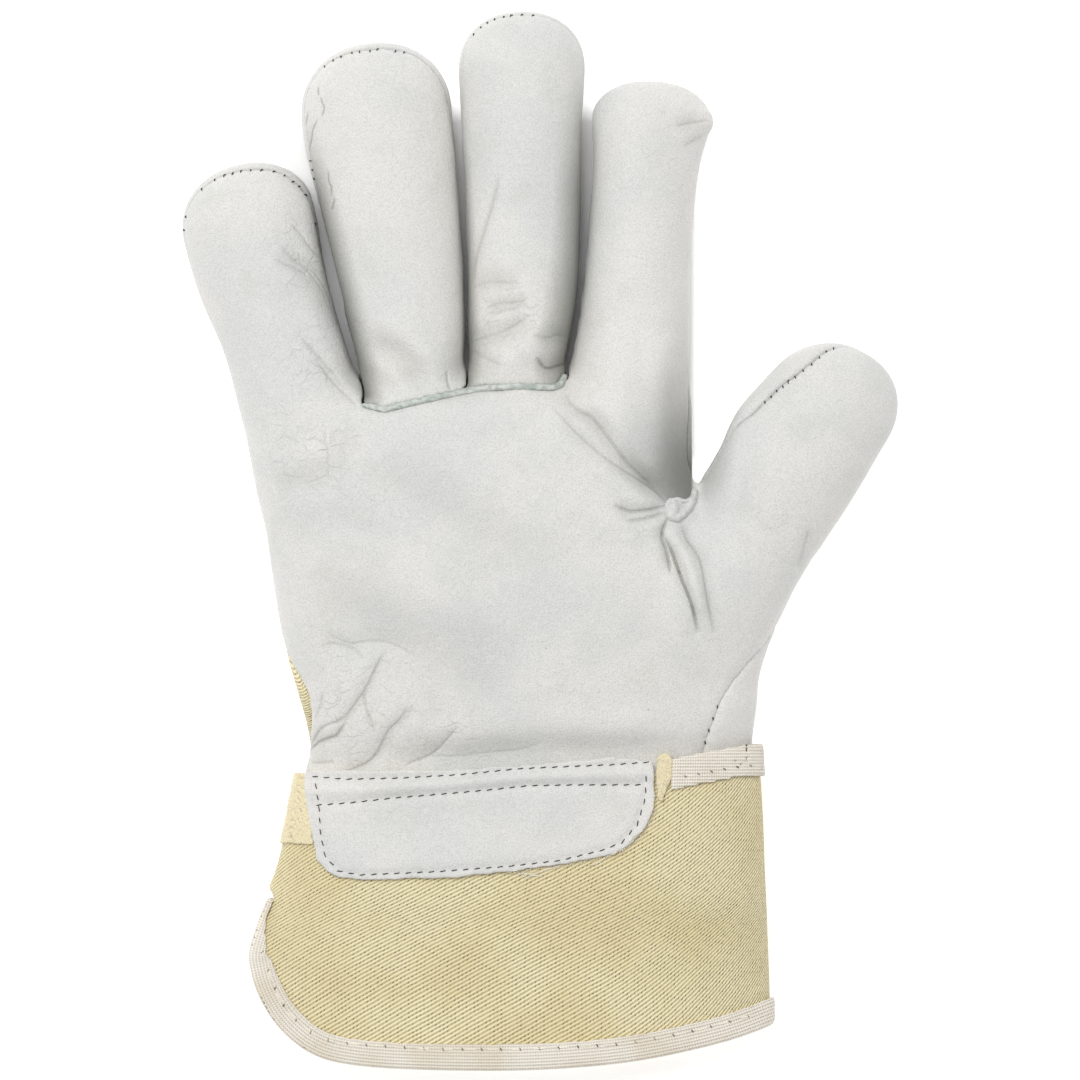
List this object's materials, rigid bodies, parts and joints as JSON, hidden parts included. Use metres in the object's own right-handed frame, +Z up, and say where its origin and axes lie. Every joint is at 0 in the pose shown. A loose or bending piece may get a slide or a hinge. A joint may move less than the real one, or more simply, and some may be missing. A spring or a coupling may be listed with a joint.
{
  "type": "leather work glove",
  "caption": "Right-hand leather work glove lying palm up, with a flared canvas safety cuff, taped hem, piped finger seam and wrist patch.",
  "frame": {"origin": "middle of the glove's box in plan, on the surface that the back of the hand rests on", "axes": "+Y to the fingertips, +X to the thumb, +Z up out of the palm"},
  "size_m": [0.181, 0.2698, 0.0335],
  "materials": {
    "grain_leather": "pale grain leather, fine creases, low satin sheen",
    "twill_canvas": "pale yellow cotton twill with darker flecks between the ribs",
    "woven_tape": "cream woven binding tape, fine ribs along it",
    "grey_welt": "grey-green rough leather piping",
    "brushed_lining": "cream brushed cotton, fuzzy"
  },
  "bodies": {
    "root": {"palm_panel": "grain_leather", "ring_finger_front": "grain_leather", "middle_finger_front": "grain_leather", "welt_strip": "grey_welt", "back_leather": "grain_leather", "canvas_back": "twill_canvas", "thumb_back": "grain_leather", "cuff": "twill_canvas", "hem_binding": "woven_tape", "vein_patch": "grain_leather", "top_binding": "woven_tape", "crotch_patch": "grain_leather", "lining_tab_right": "brushed_lining", "lining_tab_left": "brushed_lining"}
  },
  "joints": []
}
